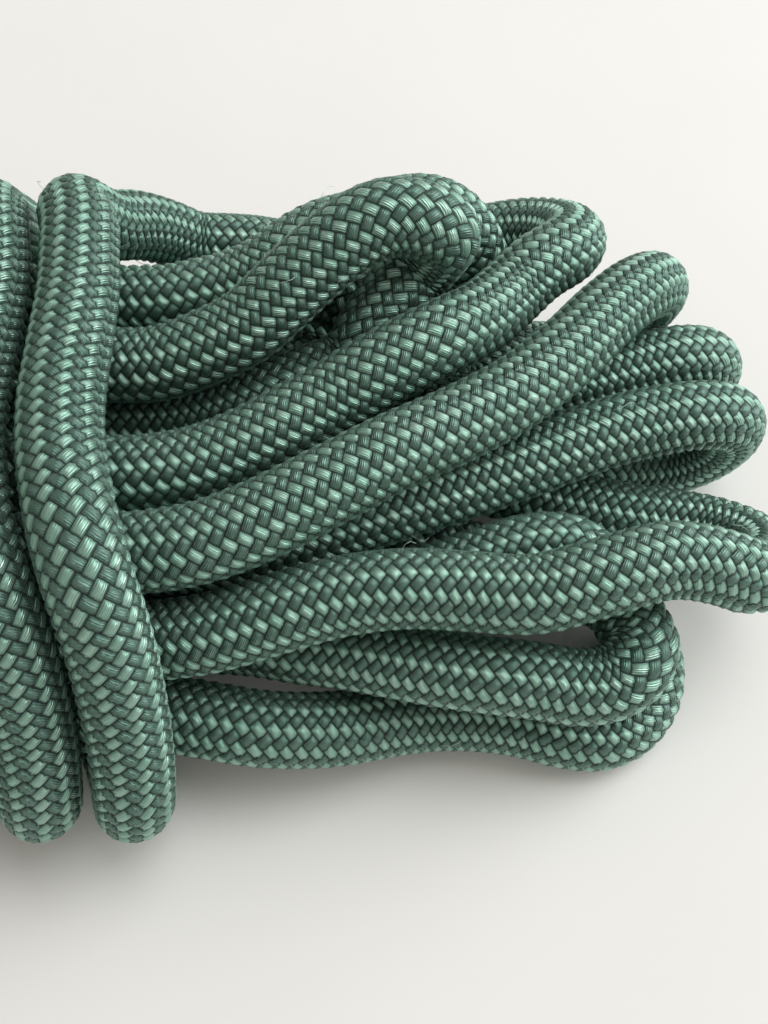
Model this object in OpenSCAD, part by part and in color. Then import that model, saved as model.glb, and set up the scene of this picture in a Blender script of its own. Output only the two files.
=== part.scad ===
// Climbing rope put up as a hank: one unbroken kernmantle rope, laid to and fro in long bights,
// drawn in at the waist and bound there by its own wraps. It lies on a flat surface.
// Millimetres, +Z up, X along the hank, bights to +X and -X of the waist.

/* [Rope] */
// outside diameter of the sheath; the whole hank keeps step with it
rope_d = 10; // [8:0.1:12]
// clear space kept between two runs that lie side by side, on a 10 mm rope
run_gap = 1.2; // [0.6:0.1:2]
// sides of the rope in this solid
rope_sides = 6; // [6:1:12]

/* [Waist] */
// X where the +X bights begin to spread
waist_right = 8; // [4:1:14]
// X where the -X bights begin to spread
waist_left = -48; // [-60:1:-40]
// degrees that the wraps turn round the waist, from 50
wrap_end = 1390; // [670:360:1390]
// how far the wraps lean toward +X on the near side
wrap_lean = 11; // [0:0.5:13]
// how far the wraps bulge toward +X over the top
wrap_bulge = 0.7; // [0:0.1:6]

/* [Rope ends] */
// length of the heat-sealed straight end of the sheath
end_length = 22; // [16:1:30]
// outside diameter of the shrunk end sleeve
sleeve_d = 11.2; // [10.6:0.1:13]
// length of the shrunk end sleeve
sleeve_length = 16; // [10:1:20]
// diameter of the core
core_d = 7.4; // [6:0.1:8.4]
// how far the fused core stands out of the sheath
core_proud = 0.8; // [0.4:0.1:1.5]
// depth of core solid kept inside the sheath end
core_depth = 10; // [6:1:14]

/* [Hidden] */
sheath_green = [0.10, 0.30, 0.22];
core_white = [0.86, 0.85, 0.80];
sleeve_black = [0.05, 0.05, 0.05];

// every length below is for a 10 mm rope and is multiplied by this
unit = rope_d / 10;
base_d = 10;
pitch = base_d + run_gap;
floor_z = 0.4 * base_d;
// where the middle of the hank's footprint lies in the route's own numbers
middle = [-15.83, 6, 0];
fine = 96;

// ---- where each run crosses the waist, [y, z] ----
k_in = [-22, 15.6];
k_out = [9.5, 15.6];
j_in = [-1, 15.6];
j_out = [-11.5, 15.6];
h_in = [-16.6, 25.2];
h_out = [20, 15.6];
c_in = [14.8, 24.8];
c_out = [17, 34.6];
b_in = [27.8, 34.4];
b_out = [26, 24.8];
f_in = [30.5, 16.2];
f_out = [-6.2, 24.8];
d_out = [-10.8, 34.8];
d_in = [36, 24.8];
e_out = [41, 15.6];
e_in = [4.2, 24.8];
a_in = [0.2, 34.2];
a_out = [45.6, 25.4];
// the runs that the wraps lie on
bound = [k_in, k_out, j_in, j_out, h_in, h_out, c_in, c_out, b_in, b_out,
  f_in, f_out, d_out, d_in, e_out, e_in, a_in];

// ---- bights: [from, to, reach along X, y, z, radius, lean in degrees, how late it spreads] ----
right_bights = [
  [k_in, k_out, 76, -13.4, 7, 10.6, 190, 2.4],
  [j_in, j_out, 71, -14, 20, 8.2, 23, 0.5],
  [h_in, h_out, 90, -1.2, 18, 10, 140, 2],
  [c_in, c_out, 47.5, 27, 40.4, 9.4, 248, 1.3],
  [b_in, b_out, 52, 39, 27.8, 11, 62, 1.3],
  [f_in, f_out, 90, 20, 14, 9.5, 285, 2],
  [d_out, d_in, 81, 36, 19.5, 12, 110, 2],
  [e_out, e_in, 89, 30.5, 12.8, 8.5, 275, 2],
  [a_in, a_out, 66, 42, 28.5, 13, 153, 1.6]];
left_bights = [
  [k_out, j_in, 122, -1, 4.6, 10, 0, 1.5],
  [j_out, h_in, 116, -24, 16, 10.5, 280, 1.5],
  [h_out, c_in, 120, 21.5, 15.5, 10.5, 255, 1.5],
  [c_out, b_in, 110, 23, 38, 10.5, 180, 1.5],
  [b_out, f_in, 116, 32.5, 15.5, 10.5, 75, 1.5],
  [f_out, d_out, 112, -12, 28, 10.5, 300, 1.5],
  [d_in, e_out, 120, 43.5, 15.5, 10.5, 255, 1.5],
  [e_in, a_in, 117, 4, 28, 10.5, 300, 1.5]];
bights = len(right_bights);
limb_steps = 9;
cap_steps = 6;
waist_steps = 6;

// ---- free stretches, chosen by hand ----
start_route = [[-100, -46, 5.6], [-92, -46, 5.6], [-84, -44.5, 4.6], [-76, -41, 4],
  [-68, -35.5, 4.6], [-60, -29.5, 8], [-54, -25.2, 12]];
lead_route = [[4, 45, 27.5], [0, 43, 32], [-3.5, 40, 37]];
finish_route = [[-51.5, 52, 6.5], [-57.5, 55.5, 5.4], [-65, 57.5, 4.6], [-73, 58, 4.6],
  [-81, 58, 5.6], [-90, 58, 5.6]];

// ---- small maths ----
function unit_of(v) = v / norm(v);
function ease(s) = s * s * (3 - 2 * s);
function arcs(p) = [for (i = 0, s = 0; i < len(p);
  s = s + (i + 1 < len(p) ? norm(p[i + 1] - p[i]) : 0), i = i + 1) s];
function smooth(p) = [for (i = [0 : len(p) - 1])
  i == 0 || i == len(p) - 1 ? p[i] : (p[i - 1] + 2 * p[i] + p[i + 1]) / 4];
function even(p, step) =
  let (s = arcs(p),
    total = s[len(s) - 1],
    count = round(total / step),
    x = [for (i = [0 : len(p) - 1]) [s[i], p[i].x]],
    y = [for (i = [0 : len(p) - 1]) [s[i], p[i].y]],
    z = [for (i = [0 : len(p) - 1]) [s[i], p[i].z]])
  [for (i = [0 : count]) let (t = min(total * i / count, total - 0.0001))
    [lookup(t, x), lookup(t, y), lookup(t, z)]];

// ---- one bight: out from the waist, round the tip and back ----
function limb(b, x0, side, lean, i) =
  let (s = i / limb_steps,
    centre_x = b[2] - b[5],
    centre = [b[3], b[4]],
    mid = (b[0] + b[1]) / 2,
    spread = (1 - ease(s)) * (b[0] - b[1]) / 2,
    yz = mid + (centre - mid) * pow(s, b[7]),
    c = [x0 + (centre_x - x0) * s, yz.x, yz.y],
    h = [0, spread.x, spread.y] + ease(s) * b[5] * lean)
  c + side * h;
function bight(b, x0, mirror_x) =
  let (centre = [b[3], b[4]],
    run = (centre - (b[0] + b[1]) / 2) * b[7],
    ahead = unit_of([b[2] - b[5] - x0, run.x, run.y]),
    tilt = [0, cos(b[6]), sin(b[6])],
    lean = unit_of(tilt - ahead * (tilt * ahead)),
    tip = [b[2] - b[5], b[3], b[4]],
    route = [
      for (i = [0 : limb_steps]) limb(b, x0, 1, lean, i),
      for (i = [1 : cap_steps - 1]) let (t = 180 * i / cap_steps)
        tip + b[5] * (cos(t) * lean + sin(t) * ahead),
      for (i = [limb_steps : -1 : 0]) limb(b, x0, -1, lean, i)])
  [for (p = route) [mirror_x * p.x, p.y, p.z]];
function through_waist(from_x, to_x, yz, first, last) =
  [for (i = [first : last]) [from_x + (to_x - from_x) * i / waist_steps, yz.x, yz.y]];
function hank() = [
  each through_waist(waist_left, waist_right, k_in, 0, waist_steps - 1),
  for (k = [0 : bights - 1]) each [
    each bight(right_bights[k], waist_right, 1),
    if (k < bights - 1) each through_waist(waist_right, waist_left, right_bights[k][1], 1, waist_steps - 1),
    if (k < bights - 1) each bight(left_bights[k], -waist_left, -1),
    if (k < bights - 1) each through_waist(waist_left, waist_right, left_bights[k][1], 1, waist_steps - 1)]];

// ---- wraps: a line drawn tight round the bound runs ----
wrap_start = 50;
wrap_stand_off = 1.12;
wrap_step = 6;
wrap_front = 1.6;
function outermost(n, i = 0, best = 0) =
  i == len(bound) ? bound[best] : outermost(n, i + 1, bound[i] * n > bound[best] * n ? i : best);
function wrap_at(t) =
  let (n = [cos(t), sin(t)], q = outermost(n) + pitch * wrap_stand_off * n)
  [wrap_front - pitch * t / 360 - wrap_lean * cos(t) + wrap_bulge * sin(t), q.x, q.y];
function wraps() =
  smooth(smooth(smooth(even([for (t = [wrap_start : 5 : wrap_end - 5]) wrap_at(t)], wrap_step))));

// ---- the rope finds its room: runs that lie too near push each other apart ----
settle_rounds = 50;
settle_rate = 0.6;
own_reach = 30;
look_reach = 2 * pitch;
function near(p, s) = [for (i = [0 : len(p) - 1])
  [for (j = [0 : len(p) - 2]) if (abs(s[i] - s[j]) > own_reach && norm(p[i] - p[j]) < look_reach) j]];
function total_of(v, i = 0, sum = [0, 0, 0]) = i == len(v) ? sum : total_of(v, i + 1, sum + v[i]);
function from_span(p, a, b) =
  let (ab = b - a, t = max(0, min(1, ((p - a) * ab) / (ab * ab)))) p - a - t * ab;
function push(p, i, list) = total_of([for (j = list)
  let (v = from_span(p[i], p[j], p[j + 1]), d = norm(v)) if (d < pitch) v * (pitch - d) / (2 * d)]);
function settle(p, list, left) = left == 0 ? p :
  let (w = smooth([for (i = [0 : len(p) - 1]) push(p, i, list[i])]),
    q = [for (i = [0 : len(p) - 1]) p[i] + settle_rate * w[i]])
  settle([for (v = q) [v.x, v.y, max(v.z, floor_z)]], list, left - 1);

start_steps = len(start_route);
hank_route = hank();
wrap_route = wraps();
first_route = [each start_route, each hank_route, each lead_route, each wrap_route, each finish_route];
centre_line = settle(first_route, near(first_route, arcs(first_route)), settle_rounds);
hank_first = start_steps;
wrap_first = hank_first + len(hank_route);
finish_first = wrap_first + len(lead_route) + len(wrap_route) - 1;
last = len(centre_line) - 1;

// ---- measured: least clear gap of the rope to itself, and its length ----
line_arcs = arcs(centre_line);
gaps = [for (i = [0 : last]) for (j = [0 : last - 1])
  if (abs(line_arcs[i] - line_arcs[j]) > own_reach && norm(centre_line[i] - centre_line[j]) < look_reach)
    norm(from_span(centre_line[i], centre_line[j], centre_line[j + 1])) - base_d];
union() {
  echo(least_gap = min(gaps) * unit, rope_length = line_arcs[last] * unit);
}

// ---- tube: rings of points along the centre line, flat where it lies on the ground ----
function tangent(i) = unit_of(centre_line[min(i + 1, last)] - centre_line[max(i - 1, 0)]);
function side_of(v, t) = unit_of(v - t * (v * t));
sides_at = [for (i = 0, v = side_of([0, 0, 1], tangent(0)); i <= last;
  i = i + 1, v = i <= last ? side_of(v, tangent(i)) : v) v];
function ring(i) =
  let (u = sides_at[i], w = cross(tangent(i), u))
  [for (k = [0 : rope_sides - 1]) let (a = 360 * (k + 0.5) / rope_sides,
    p = (centre_line[i] + base_d / 2 * (cos(a) * u + sin(a) * w) - middle) * unit)
    [p.x, p.y, max(p.z, 0)]];
module tube(from, to) {
  n = rope_sides;
  rings = to - from;
  points = [for (i = [from : to]) each ring(i), (centre_line[from] - middle) * unit,
    (centre_line[to] - middle) * unit];
  start_point = n * (rings + 1);
  faces = [
    for (i = [0 : rings - 1]) for (k = [0 : n - 1]) let (a = i * n + k, b = i * n + (k + 1) % n)
      each [[a, b, b + n], [a, b + n, a + n]],
    for (k = [0 : n - 1]) [start_point, (k + 1) % n, k],
    for (k = [0 : n - 1]) [start_point + 1, rings * n + k, rings * n + (k + 1) % n]];
  polyhedron(points = points, faces = [for (f = faces) [f[2], f[1], f[0]]], convexity = 10);
}

// ---- exact pieces of one end, drawn along +X from the tail's last ring ----
module at_start() {
  translate((start_route[0] - middle) * unit) mirror([1, 0, 0]) children();
}
module at_finish() {
  translate((finish_route[len(finish_route) - 1] - middle) * unit) mirror([1, 0, 0]) children();
}
module along_x() {
  rotate([0, 90, 0]) children();
}
module sheath_end() {
  along_x() difference() {
    cylinder(h = end_length * unit, d = rope_d, $fn = fine);
    translate([0, 0, (end_length - core_depth) * unit])
      cylinder(h = (core_depth + 1) * unit, d = core_d * unit, $fn = fine);
  }
}
module core_end() {
  along_x() translate([0, 0, (end_length - core_depth) * unit])
    cylinder(h = (core_depth + core_proud) * unit, d = core_d * unit, $fn = fine);
}
module end_sleeve() {
  along_x() translate([0, 0, (end_length - sleeve_length - 1) * unit]) difference() {
    cylinder(h = sleeve_length * unit, d = sleeve_d * unit, $fn = fine);
    translate([0, 0, -1]) cylinder(h = sleeve_length * unit + 2, d = rope_d, $fn = fine);
  }
}

module hank_loops() {
  color(sheath_green) tube(hank_first, wrap_first);
}
module waist_wraps() {
  color(sheath_green) tube(wrap_first, finish_first);
}
module start_tail() {
  color(sheath_green) tube(0, hank_first);
}
module finish_tail() {
  color(sheath_green) tube(finish_first, last);
}
module start_sheath_end() {
  color(sheath_green) at_start() sheath_end();
}
module start_core_end() {
  color(core_white) at_start() core_end();
}
module start_end_sleeve() {
  color(sleeve_black) at_start() end_sleeve();
}
module finish_sheath_end() {
  color(sheath_green) at_finish() sheath_end();
}
module finish_core_end() {
  color(core_white) at_finish() core_end();
}
module finish_end_sleeve() {
  color(sleeve_black) at_finish() end_sleeve();
}

hank_loops();
waist_wraps();
start_tail();
finish_tail();
start_sheath_end();
start_core_end();
start_end_sleeve();
finish_sheath_end();
finish_core_end();
finish_end_sleeve();
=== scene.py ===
"""A climbing rope put up as a hank: one braided rope in long bights, bound at the waist by its own wraps."""

import logging
import math
from collections.abc import Callable, Iterator, Sequence
from dataclasses import dataclass, field
from enum import Enum

import bmesh
import bpy
import numpy as np
from mathutils import Matrix, Vector


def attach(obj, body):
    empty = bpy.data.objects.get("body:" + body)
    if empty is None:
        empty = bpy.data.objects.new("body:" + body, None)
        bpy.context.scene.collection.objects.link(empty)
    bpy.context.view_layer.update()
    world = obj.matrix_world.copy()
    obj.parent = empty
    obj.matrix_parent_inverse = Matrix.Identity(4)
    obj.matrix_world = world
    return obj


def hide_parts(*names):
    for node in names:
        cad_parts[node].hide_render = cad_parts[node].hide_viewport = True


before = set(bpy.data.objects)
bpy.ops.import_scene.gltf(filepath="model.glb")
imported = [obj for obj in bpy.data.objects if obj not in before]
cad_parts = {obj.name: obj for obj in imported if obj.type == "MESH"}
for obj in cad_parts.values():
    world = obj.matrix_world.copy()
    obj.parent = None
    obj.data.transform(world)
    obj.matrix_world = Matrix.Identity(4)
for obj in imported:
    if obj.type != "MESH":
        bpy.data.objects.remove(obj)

log = logging.getLogger("hank")
MM = 0.001
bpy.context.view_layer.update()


class Slot(Enum):
    """The record's material slots."""

    SHEATH = "sheath"
    CORE = "core"
    SLEEVE = "sleeve"


class Side(Enum):
    """Which way a bight points from the waist."""

    RIGHT = 1
    LEFT = -1


# --------------------------------------------------------------------------- the rope's route


@dataclass(frozen=True)
class Bight:
    """One fold of the rope, from one crossing of the waist to the next.

    Args:
        go: y and z where the rope leaves the waist, in mm.
        back: y and z where it comes back, in mm.
        reach: how far along X the tip lies, in mm.
        y: the tip's middle across the hank, in mm.
        z: the tip's middle above the ground, in mm.
        radius: half of the fold's width at the tip, in mm.
        lean: which way the fold's width points, in degrees from +Y towards +Z.
        late: how late the two runs leave the waist's lines.
    """

    go: tuple[float, float]
    back: tuple[float, float]
    reach: float
    y: float
    z: float
    radius: float
    lean: float
    late: float


@dataclass(frozen=True)
class RopeSpec:
    """Sizes of the rope in mm, and the rules by which its runs find room.

    Args:
        diameter: outside diameter of the sheath; not used.
        pitch: least distance kept between the middles of two runs.
        floor_z: lowest height of the rope's middle.
        settle_rounds: how many times the runs push each other apart.
        settle_rate: the share of each push that is taken.
        own_reach: length of rope on each side of a point that doesn't push it.
    """

    diameter: float = 10.0
    pitch: float = 11.2
    floor_z: float = 4.0
    settle_rounds: int = 50
    settle_rate: float = 0.6
    own_reach: float = 30.0


# where each run crosses the waist, y and z in mm
K_IN, K_OUT = (-22.0, 15.6), (9.5, 15.6)
J_IN, J_OUT = (-1.0, 15.6), (-11.5, 15.6)
H_IN, H_OUT = (-16.6, 25.2), (20.0, 15.6)
C_IN, C_OUT = (14.8, 24.8), (17.0, 34.6)
B_IN, B_OUT = (27.8, 34.4), (26.0, 24.8)
F_IN, F_OUT = (30.5, 16.2), (-6.2, 24.8)
D_IN, D_OUT = (36.0, 24.8), (-10.8, 34.8)
E_IN, E_OUT = (4.2, 24.8), (41.0, 15.6)
A_IN, A_OUT = (0.2, 34.2), (45.6, 25.4)


@dataclass
class Route:
    """The middle line of the whole rope, from its first end to its last.

    The folds and the wraps come from a formula. Then the runs push each other apart and lie side by side.

    Args:
        spec: sizes of the rope.
        waist_right: x where the right folds leave the waist, in mm.
        waist_left: x where the left folds leave it.
        limb_steps: spans in each limb of a fold.
        cap_steps: spans round a fold's tip.
        waist_steps: spans in a run through the waist.
        wrap_start: angle where the wraps begin, in degrees from +Y towards +Z.
        wrap_end: angle where they end.
        wrap_turn: degrees between two points of the wraps' first line.
        wrap_front: x of the first wrap, in mm.
        wrap_lean: how far a wrap leans along X between its front and its back.
        wrap_bulge: how far it leans between its top and its foot.
        wrap_stand_off: pitches between the bound runs and a wrap's middle.
        wrap_step: length of one span of the wraps.
        wrap_smoothings: how many times the wraps' line is smoothed.
        middle: what is taken off every point to reach the part's own frame.
        right: the folds on the right, in the order that the rope makes them.
        left: the folds on the left that link them.
        start: points of the first tail.
        lead: points of the rope's rise from the last fold to the wraps.
        finish: points of the last tail.
        end_length: length of each straight sealed end.
    """

    spec: RopeSpec = field(default_factory=RopeSpec)
    waist_right: float = 8.0
    waist_left: float = -48.0
    limb_steps: int = 9
    cap_steps: int = 6
    waist_steps: int = 6
    wrap_start: float = 50.0
    wrap_end: float = 1390.0
    wrap_turn: float = 5.0
    wrap_front: float = 1.6
    wrap_lean: float = 11.0
    wrap_bulge: float = 0.7
    wrap_stand_off: float = 1.12
    wrap_step: float = 6.0
    wrap_smoothings: int = 3
    middle: tuple[float, float, float] = (-15.83, 6.0, 0.0)
    right: tuple[Bight, ...] = (
        Bight(K_IN, K_OUT, 76, -13.4, 7, 10.6, 190, 2.4),
        Bight(J_IN, J_OUT, 71, -14, 20, 8.2, 23, 0.5),
        Bight(H_IN, H_OUT, 90, -1.2, 18, 10, 140, 2),
        Bight(C_IN, C_OUT, 47.5, 27, 40.4, 9.4, 248, 1.3),
        Bight(B_IN, B_OUT, 52, 39, 27.8, 11, 62, 1.3),
        Bight(F_IN, F_OUT, 90, 20, 14, 9.5, 285, 2),
        Bight(D_OUT, D_IN, 81, 36, 19.5, 12, 110, 2),
        Bight(E_OUT, E_IN, 89, 30.5, 12.8, 8.5, 275, 2),
        Bight(A_IN, A_OUT, 66, 42, 28.5, 13, 153, 1.6),
    )
    left: tuple[Bight, ...] = (
        Bight(K_OUT, J_IN, 122, -1, 4.6, 10, 0, 1.5),
        Bight(J_OUT, H_IN, 116, -24, 16, 10.5, 280, 1.5),
        Bight(H_OUT, C_IN, 120, 21.5, 15.5, 10.5, 255, 1.5),
        Bight(C_OUT, B_IN, 110, 23, 38, 10.5, 180, 1.5),
        Bight(B_OUT, F_IN, 116, 32.5, 15.5, 10.5, 75, 1.5),
        Bight(F_OUT, D_OUT, 112, -12, 28, 10.5, 300, 1.5),
        Bight(D_IN, E_OUT, 120, 43.5, 15.5, 10.5, 255, 1.5),
        Bight(E_IN, A_IN, 117, 4, 28, 10.5, 300, 1.5),
    )
    start: tuple[tuple[float, float, float], ...] = (
        (-100, -46, 5.6), (-92, -46, 5.6), (-84, -44.5, 4.6), (-76, -41, 4),
        (-68, -35.5, 4.6), (-60, -29.5, 8), (-54, -25.2, 12),
    )
    lead: tuple[tuple[float, float, float], ...] = ((4, 45, 27.5), (0, 43, 32), (-3.5, 40, 37))
    finish: tuple[tuple[float, float, float], ...] = (
        (-51.5, 52, 6.5), (-57.5, 55.5, 5.4), (-65, 57.5, 4.6),
        (-73, 58, 4.6), (-81, 58, 5.6), (-90, 58, 5.6),
    )
    end_length: float = 22.0

    def fold(self, b: Bight, x0: float, side: Side) -> np.ndarray:
        """Points of one bight: out, round its tip and back.

        Args:
            b: the bight.
            x0: where along X the fold leaves the waist, counted outwards.
            side: which way it points.

        Returns:
            One row of x, y and z in mm for each point.
        """
        mid = (np.array(b.go) + np.array(b.back)) / 2
        half = (np.array(b.go) - np.array(b.back)) / 2
        tip = np.array([b.reach - b.radius, b.y, b.z])
        ahead = np.array([tip[0] - x0, *((tip[1:] - mid) * b.late)])
        ahead /= np.linalg.norm(ahead)
        tilt = np.array([0.0, math.cos(math.radians(b.lean)), math.sin(math.radians(b.lean))])
        lean = tilt - ahead * np.dot(tilt, ahead)
        lean /= np.linalg.norm(lean)
        s = np.linspace(0, 1, self.limb_steps + 1)[:, None]
        ease = s * s * (3 - 2 * s)
        centre = np.hstack([x0 + (tip[0] - x0) * s, mid + (tip[1:] - mid) * s**b.late])
        width = (1 - ease) * np.array([0.0, *half]) + ease * b.radius * lean
        turn = np.radians(np.arange(1, self.cap_steps) * 180 / self.cap_steps)[:, None]
        cap = tip + b.radius * (np.cos(turn) * lean + np.sin(turn) * ahead)
        points = np.vstack([centre + width, cap, (centre - width)[::-1]])
        points[:, 0] *= side.value
        return points

    def through_waist(self, x0: float, x1: float, at: tuple[float, float], first: int) -> np.ndarray:
        """Points of one straight run through the waist, without its last one.

        Args:
            x0: x where the run starts, in mm.
            x1: x where it ends, in mm.
            at: the run's y and z, in mm.
            first: number of the first point that is kept.

        Returns:
            One row of x, y and z in mm for each point.
        """
        t = np.arange(first, self.waist_steps) / self.waist_steps
        return np.array([[x0 + (x1 - x0) * k, at[0], at[1]] for k in t])

    def parts(self) -> Iterator[tuple[str, np.ndarray]]:
        """The hank's folds and waist runs, in order.

        Yields:
            The name of the piece that each belongs to, and its points in mm.
        """
        yield "waist", self.through_waist(self.waist_left, self.waist_right, self.right[0].go, 0)
        for k, b in enumerate(self.right):
            yield f"right_{k}", self.fold(b, self.waist_right, Side.RIGHT)
            if k < len(self.left):
                c = self.left[k]
                yield "waist", self.through_waist(self.waist_right, self.waist_left, b.back, 1)
                yield f"left_{k}", self.fold(c, -self.waist_left, Side.LEFT)
                yield "waist", self.through_waist(self.waist_left, self.waist_right, c.back, 1)

    def wraps(self) -> np.ndarray:
        """The turns that bind the waist: a line drawn tight round the runs, moved along X as it turns.

        Returns:
            One row of x, y and z in mm for each point.
        """
        bound = np.array([p for b in self.right for p in (b.go, b.back)][:-1])
        rows = []
        for t in np.arange(self.wrap_start, self.wrap_end, self.wrap_turn):
            a = math.radians(t)
            n = np.array([math.cos(a), math.sin(a)])
            y, z = bound[(bound @ n).argmax()] + self.spec.pitch * self.wrap_stand_off * n
            x = self.wrap_front - self.spec.pitch * t / 360 - self.wrap_lean * n[0] + self.wrap_bulge * n[1]
            rows.append((x, y, z))
        line = evenly(np.array(rows), self.wrap_step)
        for _ in range(self.wrap_smoothings):
            line = smoothed(line)
        return line

    def settled(self, p: np.ndarray) -> np.ndarray:
        """The route after its runs have pushed each other apart.

        Args:
            p: the first route, in mm.

        Returns:
            The same points, moved.
        """
        s = arcs(p)
        near = np.abs(s[:, None] - s[None, :-1]) > self.spec.own_reach
        near &= np.linalg.norm(p[:, None] - p[None, :-1], axis=2) < 2 * self.spec.pitch
        i, j = np.where(near)
        for _ in range(self.spec.settle_rounds):
            span = p[j + 1] - p[j]
            t = np.clip(((p[i] - p[j]) * span).sum(1) / (span * span).sum(1), 0, 1)
            away = p[i] - p[j] - t[:, None] * span
            d = np.linalg.norm(away, axis=1)
            push = np.where(d < self.spec.pitch, (self.spec.pitch - d) / (2 * np.maximum(d, 1e-6)), 0)
            move = np.zeros_like(p)
            np.add.at(move, i, push[:, None] * away)
            p = p + self.spec.settle_rate * smoothed(move)
            p[:, 2] = np.maximum(p[:, 2], self.spec.floor_z)
        return p

    def points(self) -> tuple[np.ndarray, list[str]]:
        """The whole route, in the part's frame.

        Returns:
            Its points in mm, and the name of the piece that each belongs to.
        """
        named = [("start", np.array(self.start, float)), *self.parts(), ("wraps", np.array(self.lead, float)),
                 ("wraps", self.wraps()), ("finish", np.array(self.finish, float))]
        line = self.settled(np.vstack([p for _, p in named]))
        names = [name for name, p in named for _ in p]
        straight = np.array([self.end_length, 0.0, 0.0])
        line = np.vstack([line[0] - straight, line, line[-1] - straight])
        return line - np.array(self.middle), ["start", *names, "finish"]


def arcs(p: np.ndarray) -> np.ndarray:
    """Length along a line of points up to each point."""
    return np.concatenate([[0.0], np.cumsum(np.linalg.norm(np.diff(p, axis=0), axis=1))])


def smoothed(p: np.ndarray) -> np.ndarray:
    """A line of points, each moved towards its two neighbours, with the ends kept."""
    return np.vstack([p[:1], (p[:-2] + 2 * p[1:-1] + p[2:]) / 4, p[-1:]])


def evenly(p: np.ndarray, step: float) -> np.ndarray:
    """The same line in equal steps.

    Args:
        p: the line's points.
        step: about how long each step is.

    Returns:
        The new points.
    """
    s = arcs(p)
    at = np.linspace(0, s[-1], round(s[-1] / step) + 1)
    return np.stack([np.interp(at, s, p[:, k]) for k in range(3)], axis=1)


def curved(p: np.ndarray, steps: int) -> np.ndarray:
    """A smooth curve through points that are unevenly spaced.

    Args:
        p: the points.
        steps: how many pieces each span is cut into.

    Returns:
        The curve's points.
    """
    h = np.linalg.norm(np.diff(p, axis=0), axis=1)[:, None]
    slope = np.diff(p, axis=0) / h
    inner = (slope[1:] * h[:-1] + slope[:-1] * h[1:]) / (h[1:] + h[:-1])
    m = np.vstack([slope[:1], inner, slope[-1:]])
    out = []
    for k in range(steps):
        t = k / steps
        a, b = 2 * t**3 - 3 * t**2 + 1, t**3 - 2 * t**2 + t
        c, d = -2 * t**3 + 3 * t**2, t**3 - t**2
        out.append(a * p[:-1] + b * h * m[:-1] + c * p[1:] + d * h * m[1:])
    return np.vstack([np.stack(out, axis=1).reshape(-1, 3), p[-1:]])


# --------------------------------------------------------------------------- the braid


@dataclass(frozen=True)
class Braid:
    """A braided sheath: columns of slanted floats, alternate columns slanting opposite ways.

    A float of an even column ends where it dives under a float of an odd one.

    Args:
        columns: columns of floats round the rope.
        row: distance from one float to the next in a column, in mm.
        relief: how far a float stands above the gaps, in mm.
        slant: rows that a float climbs in one column: 0.5 is over one under one, 1 is over two under two.
        side_round: how square a float is across: 2 is a round back, more is flatter.
        end_round: how square it is along.
        across: ring points in each column.
        along: rings in each row.
        uv_map: name of the UV map that holds columns round and rows along.
    """

    columns: int = 20
    row: float = 1.8
    relief: float = 0.46
    slant: float = 0.68
    side_round: float = 2.2
    end_round: float = 4.0
    across: int = 3
    along: int = 4
    uv_map: str = "braid"

    def height(self, u: np.ndarray, v: np.ndarray) -> np.ndarray:
        """Height of the floats, from 0 in the gaps to 1 on top.

        Args:
            u: place round the rope, in columns.
            v: place along the rope, in rows.

        Returns:
            The height at each place.
        """
        even, odd = u - 2 * np.floor(u / 2 + 0.5), u - 1 - 2 * np.floor(u / 2)
        rise, fall = v - self.slant * even, v - 0.5 + self.slant * odd
        even_row, odd_row = np.floor(rise + 0.5), np.floor(fall + 0.5)
        along_even = self.slant * even + v - even_row
        along_odd = self.slant * odd - (v - 0.5 - odd_row)
        crossing = np.abs(along_even) > self.slant
        end = np.where(crossing, along_odd, along_even) / self.slant
        side = np.where(crossing, fall - odd_row, rise - even_row) * 2
        across = np.clip(1 - np.abs(side) ** self.side_round, 0, 1)
        return across * np.clip(1 - np.abs(end) ** self.end_round, 0, 1)


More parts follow.
